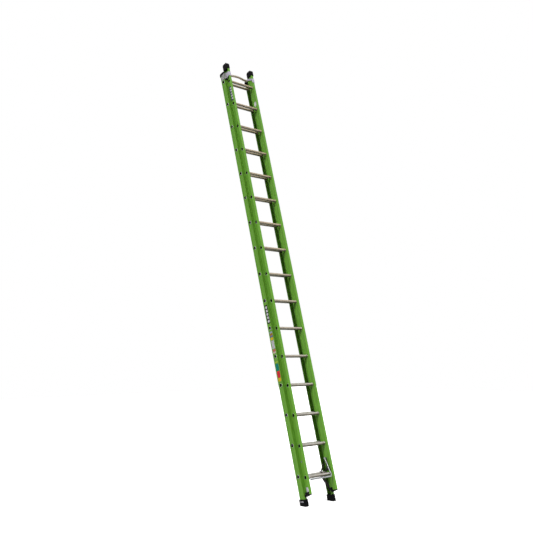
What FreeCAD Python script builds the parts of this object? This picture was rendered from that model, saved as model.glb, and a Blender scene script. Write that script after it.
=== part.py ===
import FreeCAD, Part
import math
import os
import re
import Sketcher

# Two-section extension ladder: a base section, a narrower fly section that
# slides up in front of it, and the rung lock that joins the two.
# Millimetres. +Z runs up the stiles, +X is to the climber's right and -Y is the
# climbing side. The origin is midway between the stiles, midway between the
# front of the fly caps and the back of the feet, at the level of the soles' toes.

SIZES = [
    ("rung_count", 16, "rungs in each section"),
    ("rung_pitch", 305, "from one rung to the next"),
    ("first_rung_height", 290, "lowest base rung above the toes of the soles"),
    ("fly_drop", 20, "how far each fly rung sits below its base rung when closed"),
    ("fly_width", 351, "across the outer faces of the fly webs"),
    ("base_width", 407, "across the outer faces of the base webs"),
    ("section_gap", 7, "between the two sections' flanges"),
    ("web", 4, "thickness of every web"),
    ("flange", 5, "thickness of every flange"),
    ("corner", 2, "radius at the corners of the stile sections"),
    ("fly_depth", 70, "front to back of a fly stile"),
    ("fly_flange_out", 19, "fly flange outside its web"),
    ("fly_flange_in", 7, "fly flange inside its web"),
    ("fly_tail", 158, "fly stile below its lowest rung"),
    ("fly_head", 218, "fly stile above its highest rung"),
    ("base_depth", 62, "front to back of a base stile"),
    ("base_lip", 4, "base flange outside its web"),
    ("base_flange_in", 30, "base flange inside its web"),
    ("base_tail", 258, "base stile below its lowest rung"),
    ("base_head", 121, "base stile above its highest rung"),
    ("rung_diameter", 30, "outside of a rung tube"),
    ("rung_bore", 25, "inside of a rung tube"),
    ("rung_flare", 38, "collar swaged outside each web"),
    ("flare_length", 3, "how far the collar stands outside the web"),
    ("fit", 0.05, "clearance of a pressed or turning fit, on the radius"),
    ("slack", 0.3, "clearance between sliding faces"),
    ("rubber_front", 9, "foot in front of the base stile"),
    ("rubber_wall", 6, "walls of the caps"),
    ("foot_side", 8, "foot outside the base lip"),
    ("foot_inner", 2, "foot and caps inside the flange tips"),
    ("foot_back", 15, "foot behind the base stile"),
    ("foot_height", 71, "height of a foot at its toe"),
    ("foot_corner", 16, "corner radius of a foot, seen from above"),
    ("foot_round", 14, "rounded lower edges of a foot"),
    ("sole_angle", 6, "tilt of the soles and of the feet's rims"),
    ("tread_width", 5, "width of a groove in the sole"),
    ("tread_depth", 4, "depth of a groove in the sole"),
    ("tread_pitch", 13, "from one groove to the next"),
    ("tread_count", 4, "grooves in a sole"),
    ("cap_crown", 21, "fly cap above the end of its stile"),
    ("cap_rear", 8, "fly cap behind its stile"),
    ("cap_side", 9, "fly cap outside the flange tips"),
    ("cap_front_skirt", 58, "fly cap down the front flange"),
    ("cap_front_round", 37, "front shoulder radius of a fly cap"),
    ("cap_rear_round", 41, "rear shoulder radius of a fly cap"),
    ("cap_round", 13, "rounded top edges of a fly cap"),
    ("cap_edge", 4, "rounded outer rim of the caps and feet"),
    ("end_crown", 7, "base cap above the end of its stile"),
    ("end_gap", 1, "between a base cap and the fly stile in front of it"),
    ("end_side", 2, "base cap outside the lip"),
    ("end_front_skirt", 19, "base cap down the front flange and the web"),
    ("end_rear_skirt", 36, "base cap down the rear flange"),
    ("end_front_round", 8, "front shoulder radius of a base cap"),
    ("end_rear_round", 14, "rear shoulder radius of a base cap"),
    ("plug_toe", 8, "fly plug below its stile at the front"),
    ("plug_heel", 21.7, "fly plug below its stile at the back"),
    ("plug_block", 21, "fly plug up inside the stile"),
    ("plug_rim", 1, "fly plug past the stile all round"),
    ("shoe_height", 44, "height of the plate outside a fly web"),
    ("hook_height", 26, "height of the hooked plate inside the web"),
    ("hook_reach", 18, "width of the hooked plate along the web"),
    ("shoe_plate", 3.4, "thickness of the plates on a fly web"),
    ("shoe_reach", 40, "width of the outer plate along the web"),
    ("shoe_hook", 8, "hook of the inner plate behind the base flange"),
    ("guide_drop", 20, "top of a guide bracket below the end of the base stile"),
    ("guide_height", 75, "height of a guide bracket"),
    ("guide_plate", 3, "thickness of a guide bracket"),
    ("guide_tongue", 17, "tongue of the guide inside the fly stile"),
    ("guide_cut", 22, "slanted corner of the guide's side plate"),
    ("pad", 11, "nylon pad between guide tongue and fly flange"),
    ("pad_rim", 1.7, "nylon pad at the edge of the fly flange"),
    ("pad_drop", 18, "nylon pad below its bracket"),
    ("brace_width", 20, "width of a brace's upper strap"),
    ("brace_low_width", 34, "width of a brace's lower strap"),
    ("brace_plate", 3, "thickness of a brace strap"),
    ("brace_reach", 80, "from the web to the brace collar"),
    ("brace_collar", 24, "length of the collar round the rung"),
    ("brace_low", 188, "lower brace foot below the rung"),
    ("brace_high", 136, "upper brace foot above the rung"),
    ("brace_foot", 24, "length of a brace foot on the web"),
    ("pivot_rise", 155, "lock pin above the lowest fly rung"),
    ("pivot_back", 14, "lock pin behind the fly rungs"),
    ("pin_diameter", 10, "shank of a lock pin"),
    ("pin_head", 18, "head and shoulder of a lock pin"),
    ("pin_cap", 2.5, "thickness of a pin head"),
    ("bail_half", 151.5, "from the middle to a bail arm"),
    ("bail_rod", 9, "diameter of the bail rod"),
    ("bail_bar", 17, "diameter of the bail's hand bar"),
    ("bail_front", 32, "hand bar in front of the fly rungs"),
    ("bail_low", 27, "hand bar below the lowest fly rung"),
    ("bail_bend", 16, "bend radius of the bail rod"),
    ("eye_diameter", 20, "eyes of the bail and the hooks"),
    ("eye_width", 9.2, "length of a bail eye"),
    ("hook_plate", 6, "thickness of a lock hook"),
    ("hook_radius", 127, "tip of a lock hook from its pin"),
    ("hook_arm", 18, "width of a lock hook's arm"),
    ("hook_seat", 31, "diameter of the seat that drops on a rung"),
    ("hook_seat_depth", 118, "bottom of that seat from the pin"),
    ("hook_front", 22, "front prong of the hook ahead of the pin"),
    ("hook_back", 33, "back prong of the hook behind the pin"),
    ("rest_diameter", 27, "pole rest bar"),
    ("rest_back", 60, "ends of the pole rest behind the fly rungs"),
    ("rest_bow", 25, "apex of the pole rest's tangents, ahead of its ends"),
    ("rest_bend", 80, "bend near each end of the pole rest"),
    ("rest_curve", 290, "curve of the pole rest's middle"),
    ("rest_straight", 41, "straight end of the pole rest"),
    ("rest_above", 134, "pole rest above the highest fly rung"),
    ("strap_plate", 3, "thickness of the pole rest straps"),
    ("strap_height", 26, "height of a strap"),
    ("strap_fall", 38, "front of a strap below its back"),
    ("clamp_height", 52, "height of a strap's front plate"),
    ("clamp_return", 46, "strap plate down the outside of the fly stile"),
    ("clamp_tail", 18, "that plate below the front one"),
    ("rivet_head", 13, "diameter of a rivet head"),
    ("rivet_crown", 8, "flat top of a rivet head"),
    ("rivet_height", 1.8, "height of a rivet head"),
    ("rivet_drop", 21, "rivets below the rim of a foot"),
]

# Lengths that follow from the sizes. Each is an expression in the names above
# and in the names before it.
DERIVED = {
    "section_offset": "fly_depth / 2 + section_gap + base_depth / 2",
    "front_reach": "fly_depth / 2 + rubber_wall",
    "rear_reach": "section_offset + base_depth / 2 + foot_back",
    "fly_y": "(front_reach - rear_reach) / 2",
    "base_y": "fly_y + section_offset",
    "fly_rung_height": "first_rung_height - fly_drop",
    "rung_span": "(rung_count - 1) * rung_pitch",
    "fly_bottom": "fly_rung_height - fly_tail",
    "fly_length": "fly_tail + rung_span + fly_head",
    "fly_top": "fly_bottom + fly_length",
    "base_bottom": "first_rung_height - base_tail",
    "base_length": "base_tail + rung_span + base_head",
    "base_top": "base_bottom + base_length",
    "cap_rear_skirt": "fly_top - base_top - end_crown - slack",
    "fly_half": "fly_width / 2",
    "base_half": "base_width / 2",
    "fly_inner_tip": "fly_half - web - fly_flange_in",
    "rung_hole": "rung_diameter / 2 + fit",
    "pivot_y": "fly_y + pivot_back",
    "pivot_z": "fly_rung_height + pivot_rise",
    "eye_bore": "pin_diameter / 2 + fit",
    "hook_inner": "bail_half + eye_width / 2 + slack",
    "hook_outer": "hook_inner + hook_plate",
    "bail_drop": "pivot_rise + bail_low",
    "bail_lean": "pivot_back + bail_front",
    "bail_length": "sqrt(bail_drop * bail_drop + bail_lean * bail_lean)",
    "rest_z": "fly_rung_height + rung_span + rest_above",
    "rest_half": "fly_inner_tip - slack - strap_plate",
    "guide_top": "base_top - guide_drop",
    "guide_bottom": "guide_top - guide_height",
    "foot_front": "base_depth / 2 + rubber_front",
    "toe_drop": "foot_round * (tan(sole_angle) + 1 / cos(sole_angle) - 1)",
    "sole_level": "foot_front * sin(sole_angle) - toe_drop * cos(sole_angle)",
    "foot_rise": "(foot_front + base_depth / 2 + foot_back) * tan(sole_angle)",
    "sole_rise": "foot_rise - toe_drop",
    "trim_margin": "base_depth",
}

SIDES = (("left", -1), ("right", 1))

document = FreeCAD.newDocument("ExtensionLadder")
sheet = document.addObject("Spreadsheet::Sheet", "Sizes")
subparts = []


def fill_sheet():
    """Write each size with its name and its meaning."""
    for row, (name, size, meaning) in enumerate(SIZES, start=1):
        sheet.set(f"A{row}", name)
        sheet.set(f"B{row}", str(size))
        sheet.set(f"C{row}", meaning)
        sheet.setAlias(f"B{row}", name)
    document.recompute()


def expand(text):
    """Write an expression out in the sheet's own names."""
    names = {name for name, _, _ in SIZES}

    def swap(match):
        word = match.group(0)
        if word in DERIVED:
            return f"({expand(DERIVED[word])})"
        if word in names:
            return f"Sizes.{word}"
        return word

    return re.sub(r"[a-z_]+", swap, str(text))


def value(text):
    """The number that an expression gives now."""
    return float(sheet.evalExpression(expand(text)))


def origin_feature(body, role):
    """The origin plane or axis of a body that has this role."""
    for feature in body.Origin.OriginFeatures:
        if feature.Role == role:
            return feature
    raise ValueError(f"{body.Label} has no {role}")


def place(item, x="0", y="0", z="0"):
    """Bind an object's place to the sheet."""
    item.setExpression("Placement.Base.x", expand(x))
    item.setExpression("Placement.Base.y", expand(y))
    item.setExpression("Placement.Base.z", expand(z))


def new_body(label, x="0", y="0", z="0"):
    """A sub-part's body, whose own origin stands at x, y, z."""
    body = document.addObject("PartDesign::Body", label)
    body.Label = label
    place(body, x, y, z)
    subparts.append(body)
    return body


def new_sketch(body, role, name, height="0"):
    """A sketch on one of the body's own planes, or that far in front of it."""
    sketch = body.newObject("Sketcher::SketchObject", name)
    sketch.AttachmentSupport = [(origin_feature(body, role), "")]
    sketch.MapMode = "FlatFace"
    sketch.setExpression("AttachmentOffset.Base.z", expand(height))
    return sketch


def bind_constraint(sketch, constraint, text):
    """Add a constraint whose size follows an expression."""
    index = sketch.addConstraint(constraint)
    sketch.setExpression(f"Constraints[{index}]", expand(text))


def fix_point(sketch, geometry, end, corner):
    """Hold one point at a corner's two coordinates."""
    x = value(corner[0])
    y = value(corner[1])
    bind_constraint(sketch, Sketcher.Constraint("DistanceX", -1, 1, geometry, end, x), corner[0])
    bind_constraint(sketch, Sketcher.Constraint("DistanceY", -1, 1, geometry, end, y), corner[1])


def corner_arc(before, corner, after, radius):
    """Tangent points, centre and sense of the arc that rounds a corner."""
    toward_before = (before - corner).normalize()
    toward_after = (after - corner).normalize()
    half = toward_before.getAngle(toward_after) / 2
    start = corner + toward_before * (radius / math.tan(half))
    end = corner + toward_after * (radius / math.tan(half))
    centre = corner + (toward_before + toward_after).normalize() * (radius / math.sin(half))
    turn = toward_after.cross(toward_before).z
    return start, end, centre, turn > 0


def outline(sketch, corners, closed=True):
    """Draw straight runs through the corners, with an arc where a corner has a radius.

    A corner is (x, y) or (x, y, radius), in expressions of the sheet's names.
    """
    count = len(corners)
    points = [FreeCAD.Vector(value(corner[0]), value(corner[1]), 0) for corner in corners]
    arcs = {}
    for index, corner in enumerate(corners):
        if len(corner) == 3:
            before = points[index - 1]
            after = points[(index + 1) % count]
            arcs[index] = corner_arc(before, points[index], after, value(corner[2]))
    lines = []
    for index in range(count if closed else count - 1):
        following = (index + 1) % count
        start = arcs[index][1] if index in arcs else points[index]
        end = arcs[following][0] if following in arcs else points[following]
        lines.append(sketch.addGeometry(Part.LineSegment(start, end), False))
    for index, corner in enumerate(corners):
        line_in = lines[index - 1] if closed or index > 0 else None
        line_out = lines[index] if closed or index < count - 1 else None
        if index in arcs:
            round_corner(sketch, corner, points[index], arcs[index], line_in, line_out)
        elif line_out is None:
            fix_point(sketch, line_in, 2, corner)
        else:
            fix_point(sketch, line_out, 1, corner)
            if line_in is not None:
                sketch.addConstraint(Sketcher.Constraint("Coincident", line_in, 2, line_out, 1))


def round_corner(sketch, corner, point, arc, line_in, line_out):
    """Round one corner with an arc tangent to both lines, and hold the corner itself."""
    start, end, centre, counterclockwise = arc
    radius = value(corner[2])
    circle = Part.Circle(centre, FreeCAD.Vector(0, 0, 1), radius)
    first, last = (start, end) if counterclockwise else (end, start)
    first_angle = math.atan2(first.y - centre.y, first.x - centre.x)
    last_angle = math.atan2(last.y - centre.y, last.x - centre.x)
    if last_angle < first_angle:
        last_angle += 2 * math.pi
    curve = sketch.addGeometry(Part.ArcOfCircle(circle, first_angle, last_angle), False)
    in_end, out_end = (1, 2) if counterclockwise else (2, 1)
    sketch.addConstraint(Sketcher.Constraint("Tangent", line_in, 2, curve, in_end))
    sketch.addConstraint(Sketcher.Constraint("Tangent", line_out, 1, curve, out_end))
    bind_constraint(sketch, Sketcher.Constraint("Radius", curve, radius), corner[2])
    apex = sketch.addGeometry(Part.Point(point), True)
    sketch.addConstraint(Sketcher.Constraint("PointOnObject", apex, 1, line_in))
    sketch.addConstraint(Sketcher.Constraint("PointOnObject", apex, 1, line_out))
    fix_point(sketch, apex, 1, corner)


def ring(sketch, x, y, radius):
    """Draw a circle of that radius round x, y."""
    centre = FreeCAD.Vector(value(x), value(y), 0)
    circle = sketch.addGeometry(Part.Circle(centre, FreeCAD.Vector(0, 0, 1), value(radius)), False)
    fix_point(sketch, circle, 3, (x, y))
    bind_constraint(sketch, Sketcher.Constraint("Radius", circle, value(radius)), radius)


def pad(body, sketch, length, symmetric=False, backwards=False):
    """Raise a sketch by a length, or by half of it each way."""
    feature = body.newObject("PartDesign::Pad", "Pad")
    feature.Profile = (sketch, [""])
    feature.SideType = "Symmetric" if symmetric else "One side"
    feature.Reversed = backwards
    feature.setExpression("Length", expand(length))
    return feature


def pocket(body, sketch, length, symmetric=False, backwards=False):
    """Cut a sketch away to a depth, and stop if it takes nothing."""
    document.recompute()
    before = body.Shape.Volume
    feature = body.newObject("PartDesign::Pocket", "Pocket")
    feature.Profile = (sketch, [""])
    feature.SideType = "Symmetric" if symmetric else "One side"
    feature.Reversed = backwards
    feature.setExpression("Length", expand(length))
    document.recompute()
    if body.Shape.Volume >= before:
        raise ValueError(f"a pocket of {body.Label} cuts nothing")
    return feature


def revolve(body, sketch):
    """Turn a sketch once round its own horizontal axis."""
    feature = body.newObject("PartDesign::Revolution", "Revolution")
    feature.Profile = (sketch, [""])
    feature.ReferenceAxis = (sketch, ["H_Axis"])
    feature.Angle = 360
    return feature


def repeat(body, feature, direction, length, count):
    """Repeat a feature along an axis, over that length."""
    pattern = body.newObject("PartDesign::LinearPattern", "Pattern")
    pattern.Originals = [feature]
    pattern.Direction = direction
    pattern.setExpression("Length", expand(length))
    pattern.setExpression("Occurrences", expand(count))
    body.Tip = pattern
    return pattern


def sweep(body, profile, path):
    """Carry a profile sketch along a path sketch."""
    feature = body.newObject("PartDesign::AdditivePipe", "Pipe")
    feature.Profile = (profile, [""])
    feature.Spine = (path, [""])
    return feature


def trim(body, sketch, corners, length):
    """Cut away what lies outside an outline, over a length that its sketch halves."""
    xs = [value(corner[0]) for corner in corners]
    ys = [value(corner[1]) for corner in corners]
    left = f"{corners[xs.index(min(xs))][0]} - trim_margin"
    right = f"{corners[xs.index(max(xs))][0]} + trim_margin"
    low = f"{corners[ys.index(min(ys))][1]} - trim_margin"
    high = f"{corners[ys.index(max(ys))][1]} + trim_margin"
    outline(sketch, corners)
    outline(sketch, [(left, low), (right, low), (right, high), (left, high)])
    pocket(body, sketch, length, symmetric=True)


def fly_section(sign, gap="0"):
    """Corners of a fly stile's section, from its web's outer face, outwards as sign says."""
    half = f"fly_depth / 2 + {gap}"
    shelf = f"fly_depth / 2 - flange - {gap}"
    out = f"{sign} * (fly_flange_out + {gap})"
    inner = f"{-sign} * (web + fly_flange_in + {gap})"
    outer_face = f"{sign} * {gap}"
    inner_face = f"{-sign} * (web + {gap})"
    bend = ("corner",)
    return [
        (inner, f"-({half})"),
        (out, f"-({half})") + bend,
        (out, f"-({shelf})"),
        (outer_face, f"-({shelf})") + bend,
        (outer_face, shelf) + bend,
        (out, shelf),
        (out, half) + bend,
        (inner, half),
        (inner, shelf),
        (inner_face, shelf) + bend,
        (inner_face, f"-({shelf})") + bend,
        (inner, f"-({shelf})"),
    ]


def base_section(sign, gap="0"):
    """Corners of a base stile's section, from its web's outer face, outwards as sign says."""
    half = f"base_depth / 2 + {gap}"
    shelf = f"base_depth / 2 - flange - {gap}"
    out = f"{sign} * (base_lip + {gap})"
    inner = f"{-sign} * (web + base_flange_in + {gap})"
    outer_face = f"{sign} * {gap}"
    inner_face = f"{-sign} * (web + {gap})"
    bend = ("corner",)
    return [
        (inner, f"-({half})") + bend,
        (out, f"-({half})"),
        (out, f"-({shelf})"),
        (outer_face, f"-({shelf})"),
        (outer_face, shelf),
        (out, shelf),
        (out, half),
        (inner, half) + bend,
        (inner, shelf),
        (inner_face, shelf) + bend,
        (inner_face, f"-({shelf})") + bend,
        (inner, f"-({shelf})"),
    ]


def shifted(corners, shift):
    """The same corners, moved along the first axis."""
    return [(f"{shift} + {corner[0]}",) + corner[1:] for corner in corners]


def stile(label, sign, section, half_width, y, bottom, length, tail):
    """A pultruded channel, punched through its web for every rung."""
    body = new_body(label, f"{sign} * {half_width}", y, bottom)
    profile = new_sketch(body, "XY_Plane", "Section")
    outline(profile, section(sign))
    pad(body, profile, length)
    hole = new_sketch(body, "YZ_Plane", "RungHole")
    ring(hole, "0", tail, "rung_hole")
    cut = pocket(body, hole, "4 * web", symmetric=True)
    repeat(body, cut, (origin_feature(body, "Z_Axis"), [""]), "rung_span", "rung_count")
    return body


def lock_pin_hole(body):
    """Drill a fly stile's web for the pin of the rung lock."""
    hole = new_sketch(body, "YZ_Plane", "PinHole")
    ring(hole, "pivot_back", "fly_tail + pivot_rise", "eye_bore")
    pocket(body, hole, "4 * web", symmetric=True)


def rung(label, half_width, y, height):
    """A rung tube through both webs, with a swaged collar outside each."""
    body = new_body(label, "0", y, height)
    profile = new_sketch(body, "XY_Plane", "HalfSection")
    right = [
        (f"{half_width} + flare_length", "rung_bore / 2"),
        (half_width, "rung_flare / 2"),
        (half_width, "rung_diameter / 2"),
    ]
    left = [(f"-({x})", radius) for x, radius in reversed(right)]
    outline(profile, right + left)
    revolve(body, profile)
    return body


def middle_of(outer, inner):
    """Half the difference of two reaches, which centres a piece between them."""
    return f"(({outer}) - ({inner})) / 2"


def slant(sketch, axis):
    """Turn a sketch by the slant of the soles, round one of its own axes."""
    turn = FreeCAD.Rotation(axis, value("sole_angle"))
    sketch.AttachmentOffset = FreeCAD.Placement(FreeCAD.Vector(), turn)
    sketch.setExpression("AttachmentOffset.Rotation.Angle", expand("sole_angle"))


def foot(side, sign):
    """A rubber boot on the end of a base stile, round below, with a slanted and grooved sole."""
    outer = "base_lip + foot_side"
    inner = "web + base_flange_in + foot_inner"
    front = "-foot_front"
    back = "base_depth / 2 + foot_back"
    near = f"{-sign} * ({inner})"
    far = f"{sign} * ({outer})"
    body = new_body(f"foot_{side}", f"{sign} * base_half", "base_y")
    profile = new_sketch(body, "YZ_Plane", "Side")
    outline(profile, [
        (front, "-toe_drop", "foot_round"),
        (back, "sole_rise", "foot_round"),
        (back, "foot_height + foot_rise"),
        (front, "foot_height"),
    ])
    pad(body, profile, f"2 * ({inner}) + 2 * ({outer})", symmetric=True)
    trim(body, new_sketch(body, "XY_Plane", "Plan"), [
        (near, front, "cap_edge"),
        (far, front, "foot_corner"),
        (far, back, "foot_corner"),
        (near, back, "cap_edge"),
    ], "4 * foot_height")
    front_view = new_sketch(body, "XZ_Plane", "Front")
    slant(front_view, FreeCAD.Vector(1, 0, 0))
    trim(body, front_view, [
        (near, "sole_level", "foot_round"),
        (far, "sole_level", "foot_round"),
        (far, "2 * foot_height"),
        (near, "2 * foot_height"),
    ], "4 * foot_height")
    socket = new_sketch(body, "XY_Plane", "Socket", "base_bottom")
    outline(socket, base_section(sign, "fit"))
    pocket(body, socket, "foot_height", backwards=True)
    tread = new_sketch(body, "YZ_Plane", "Tread")
    slant(tread, FreeCAD.Vector(0, 0, 1))
    first = f"{front} + foot_corner"
    outline(tread, [
        (first, "sole_level - tread_depth"),
        (f"{first} + tread_width", "sole_level - tread_depth"),
        (f"{first} + tread_width", "sole_level + tread_depth"),
        (first, "sole_level + tread_depth"),
    ])
    cut = pocket(body, tread, f"4 * ({inner})", symmetric=True)
    repeat(body, cut, (tread, ["H_Axis"]), "(tread_count - 1) * tread_pitch", "tread_count")
    return body


def fly_cap(side, sign):
    """A round-shouldered rubber cap over the top of a fly stile."""
    inner = "web + fly_flange_in + foot_inner"
    outer = "fly_flange_out + cap_side"
    front = "-(fly_depth / 2 + rubber_wall)"
    back = "fly_depth / 2 + cap_rear"
    centre = middle_of(outer, inner)
    body = new_body(f"fly_cap_{side}", f"{sign} * (fly_half + {centre})", "fly_y", "fly_top")
    profile = new_sketch(body, "YZ_Plane", "Side")
    outline(profile, [
        (front, "-cap_front_skirt"),
        (back, "-cap_rear_skirt"),
        (back, "cap_crown", "cap_rear_round"),
        (front, "cap_crown", "cap_front_round"),
    ])
    pad(body, profile, f"{outer} + {inner}", symmetric=True)
    near = f"{-sign} * ({outer} + {inner}) / 2"
    far = f"{sign} * ({outer} + {inner}) / 2"
    trim(body, new_sketch(body, "XY_Plane", "Plan"), [
        (near, front, "cap_edge"),
        (far, front, "2 * cap_edge"),
        (far, back, "2 * cap_edge"),
        (near, back, "cap_edge"),
    ], "4 * cap_rear_skirt")
    trim(body, new_sketch(body, "XZ_Plane", "Front"), [
        (near, "-2 * cap_rear_skirt"),
        (far, "-2 * cap_rear_skirt"),
        (far, "cap_crown", "cap_round"),
        (near, "cap_crown", "cap_round"),
    ], f"2 * ({back} - ({front}))")
    socket = new_sketch(body, "XY_Plane", "Socket")
    shift = f"{-sign} * {centre}"
    outline(socket, shifted(fly_section(sign, "fit"), shift))
    pocket(body, socket, "2 * cap_rear_skirt")
    return body


def base_cap(side, sign):
    """A thin rubber cap over the top of a base stile."""
    inner = "web + base_flange_in + foot_inner"
    outer = "base_lip + end_side"
    front = "-(base_depth / 2 + section_gap - end_gap)"
    back = "base_depth / 2 + rubber_wall"
    centre = middle_of(outer, inner)
    body = new_body(f"base_cap_{side}", f"{sign} * (base_half + {centre})", "base_y", "base_top")
    profile = new_sketch(body, "YZ_Plane", "Side")
    outline(profile, [
        (front, "-end_front_skirt"),
        ("base_depth / 6", "-end_front_skirt"),
        (back, "-end_rear_skirt"),
        (back, "end_crown", "end_rear_round"),
        (front, "end_crown", "end_front_round"),
    ])
    pad(body, profile, f"{outer} + {inner}", symmetric=True)
    socket = new_sketch(body, "XY_Plane", "Socket")
    shift = f"{-sign} * {centre}"
    outline(socket, shifted(base_section(sign, "fit"), shift))
    pocket(body, socket, "2 * end_rear_skirt")
    return body


def stile_plug(side, sign):
    """A rubber plug under a fly stile, with a block that fills the channel's foot."""
    inner = "web + fly_flange_in + plug_rim"
    outer = "fly_flange_out + plug_rim"
    reach = "fly_depth / 2 + plug_rim"
    centre = middle_of(outer, inner)
    body = new_body(f"stile_plug_{side}", f"{sign} * (fly_half + {centre})", "fly_y", "fly_bottom")
    profile = new_sketch(body, "YZ_Plane", "Side")
    outline(profile, [
        (f"-({reach})", "0"),
        (f"-({reach})", "-plug_toe", "corner"),
        (reach, "-plug_heel", "corner"),
        (reach, "0"),
    ])
    pad(body, profile, f"{outer} + {inner}", symmetric=True)
    block = new_sketch(body, "XY_Plane", "Block")
    shift = f"{-sign} * {centre}"
    shelf = "fly_depth / 2 - flange - fit"
    outline(block, [
        (f"{shift} + {sign} * fit", f"-({shelf})", "corner"),
        (f"{shift} + {sign} * fly_flange_out", f"-({shelf})"),
        (f"{shift} + {sign} * fly_flange_out", shelf),
        (f"{shift} + {sign} * fit", shelf, "corner"),
    ])
    pad(body, block, "plug_block")
    return body


def plug_hook(side, sign):
    """A bent plate inside a fly web, just above the plug, hooked behind the base's front flange."""
    body = new_body(f"plug_hook_{side}", f"{sign} * fly_half", "fly_y", "fly_bottom + slack")
    shelf = "fly_depth / 2 - flange - slack"
    behind = "section_offset - base_depth / 2 + flange + slack"
    run = f"{-sign} * (web + fly_flange_in + slack)"
    run_inner = f"{-sign} * (web + fly_flange_in + slack + shoe_plate)"
    face = f"{-sign} * web"
    face_inner = f"{-sign} * (web + shoe_plate)"
    hook = f"{sign} * (shoe_hook - web - fly_flange_in - slack)"
    plan = new_sketch(body, "XY_Plane", "Plan")
    outline(plan, [
        (face, f"{shelf} - hook_reach"),
        (face, shelf, "corner"),
        (run, shelf),
        (run, behind),
        (hook, behind),
        (hook, f"{behind} + shoe_plate"),
        (run_inner, f"{behind} + shoe_plate", "corner"),
        (run_inner, f"{shelf} - shoe_plate", "corner"),
        (face_inner, f"{shelf} - shoe_plate"),
        (face_inner, f"{shelf} - hook_reach"),
    ])
    pad(body, plan, "hook_height")
    return body


def fly_shoe(side, sign):
    """The plate outside a fly web that the rivets draw up to, just above the plug's block."""
    body = new_body(f"fly_shoe_{side}", f"{sign} * fly_half", "fly_y", "fly_bottom + plug_block + slack")
    plan = new_sketch(body, "XY_Plane", "Plan")
    outline(plan, [
        ("0", "-shoe_reach / 2"),
        (f"{sign} * shoe_plate", "-shoe_reach / 2"),
        (f"{sign} * shoe_plate", "shoe_reach / 2"),
        ("0", "shoe_reach / 2"),
    ])
    pad(body, plan, "shoe_height")
    return body


def guide_bracket(side, sign):
    """A bracket on the base stile whose tongue reaches into the fly stile's channel."""
    body = new_body(f"guide_bracket_{side}", f"{sign} * base_half", "fly_y", "guide_bottom")
    front = "section_offset - base_depth / 2"
    run = f"{sign} * (fly_half + fly_flange_out + slack + pad_rim - base_half)"
    run_outer = f"{sign} * (fly_half + fly_flange_out + slack + pad_rim + guide_plate - base_half)"
    tip = f"{sign} * (fly_half + fly_flange_out + slack + pad_rim - guide_tongue - base_half)"
    lip = f"{sign} * base_lip"
    lip_outer = f"{sign} * (base_lip + guide_plate)"
    tongue = "fly_depth / 2 - flange - slack - pad"
    plate_end = f"{front} + base_depth - flange - slack"
    plan = new_sketch(body, "XY_Plane", "Plan")
    outline(plan, [
        ("0", plate_end),
        ("0", f"{front} + flange"),
        (lip, f"{front} + flange"),
        (lip, front),
        (run, front),
        (run, tongue),
        (tip, tongue),
        (tip, f"{tongue} - guide_plate"),
        (run_outer, f"{tongue} - guide_plate", "corner"),
        (run_outer, f"{front} - guide_plate"),
        (lip_outer, f"{front} - guide_plate", "corner"),
        (lip_outer, f"{front} + flange + base_lip"),
        (f"{sign} * guide_plate", f"{front} + flange + 2 * base_lip"),
        (f"{sign} * guide_plate", plate_end),
    ])
    pad(body, plan, "guide_height")
    cut = new_sketch(body, "YZ_Plane", "SlantedCorner")
    outline(cut, [
        (f"{plate_end} + guide_plate", "guide_height + guide_plate"),
        (f"{plate_end} - guide_cut", "guide_height + guide_plate"),
        (f"{plate_end} + guide_plate", "guide_height - guide_cut * 3 / 2"),
    ])
    pocket(body, cut, "8 * base_lip", symmetric=True)
    return body


def guide_slider(side, sign):
    """A nylon channel in the bracket that the rear flange of the fly stile runs in."""
    body = new_body(f"guide_slider_{side}", f"{sign} * fly_half", "fly_y", "guide_bottom - pad_drop")
    front = "section_offset - base_depth / 2"
    flange_front = "fly_depth / 2 - flange"
    rim = f"{sign} * (fly_flange_out + slack)"
    rim_outer = f"{sign} * (fly_flange_out + slack + pad_rim)"
    lip = f"{sign} * (fly_flange_out + slack + pad_rim - guide_tongue)"
    plan = new_sketch(body, "XY_Plane", "Plan")
    outline(plan, [
        (lip, f"{flange_front} - slack - pad"),
        (rim_outer, f"{flange_front} - slack - pad"),
        (rim_outer, front),
        (lip, front),
        (lip, "fly_depth / 2 + slack"),
        (rim, "fly_depth / 2 + slack"),
        (rim, f"{flange_front} - slack"),
        (lip, f"{flange_front} - slack"),
    ])
    pad(body, plan, "guide_height + pad_drop - slack")
    return body


def rung_brace(side, sign):
    """Knee braces above and below the lowest base rung, on a collar round it."""
    body = new_body(f"rung_brace_{side}", f"{sign} * (base_half - web)", "base_y", "first_rung_height")
    collar = new_sketch(body, "YZ_Plane", "Collar", f"{-sign} * (brace_reach + brace_collar / 2)")
    ring(collar, "0", "0", "rung_diameter / 2 + fit")
    ring(collar, "0", "0", "rung_diameter / 2 + brace_plate")
    pad(body, collar, "brace_collar", symmetric=True)
    brace_strap(body, sign, "-1", "brace_low", "brace_reach + brace_collar / 2", "brace_low_width")
    brace_strap(body, sign, "1", "brace_high", "brace_reach", "brace_width")
    return body


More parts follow.
